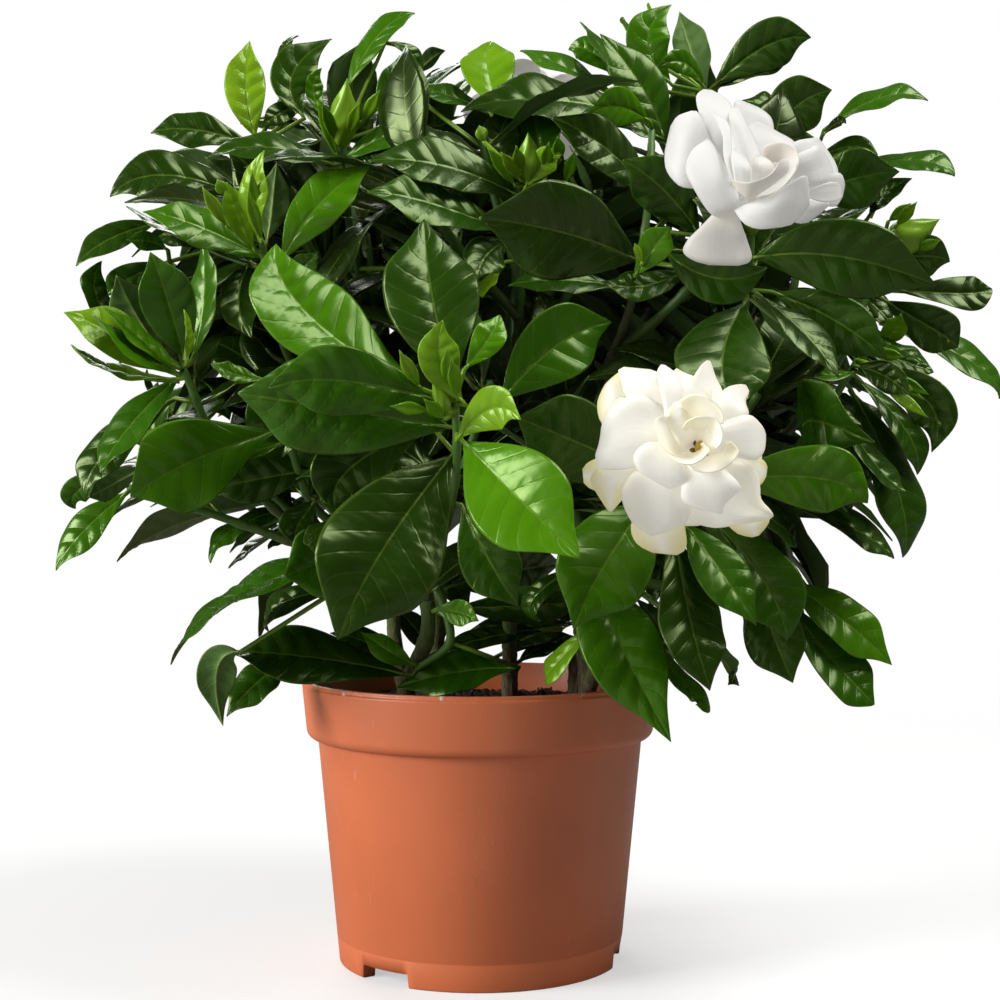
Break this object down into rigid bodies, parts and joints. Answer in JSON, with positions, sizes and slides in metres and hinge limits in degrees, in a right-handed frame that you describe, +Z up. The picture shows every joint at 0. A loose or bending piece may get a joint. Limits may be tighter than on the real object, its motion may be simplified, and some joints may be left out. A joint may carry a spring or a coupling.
{
  "type": "potted gardenia",
  "caption": "Evergreen shrub with glossy pointed leaves and double white and cream blooms, growing in a round tapered plastic pot with a banded rim.",
  "frame": {"origin": "middle of the pot's foot ring, on the plane that it stands on; the pot's axis is Z", "axes": "+Z up, -Y towards the side that the picture shows, +X to the right in the picture"},
  "size_m": [0.3465, 0.2937, 0.3523],
  "materials": {
    "pot_plastic": "satin terracotta-coloured plastic",
    "soil": "loose dark bark and peat, with the roots in it",
    "bark": "rough grey-brown bark",
    "foliage": "glossy leathery leaves on green shoots",
    "cream_petals": "soft waxy cream petals",
    "white_petals": "soft waxy white petals",
    "bloom_centre": "matte yellow style and brown anthers"
  },
  "bodies": {
    "root": {"pot": "pot_plastic", "soil": "soil", "woody_stem_left": "bark", "woody_stem_middle_left": "bark", "woody_stem_middle": "bark", "woody_stem_right": "bark", "woody_stem_low_right": "bark", "leafy_stem_front": "foliage", "leafy_stem_left": "foliage", "leafy_stem_upper_left": "foliage", "leafy_stem_upper_middle": "foliage", "leafy_stem_upper_right": "foliage", "leafy_stem_right": "foliage", "leafy_stem_low_right": "foliage", "leafy_stem_back_left": "foliage", "leafy_stem_back_middle": "foliage", "leafy_stem_back_right": "foliage", "bloom_cream": "cream_petals", "bloom_white": "white_petals", "bloom_back": "white_petals", "bloom_centre": "bloom_centre"}
  },
  "joints": []
}
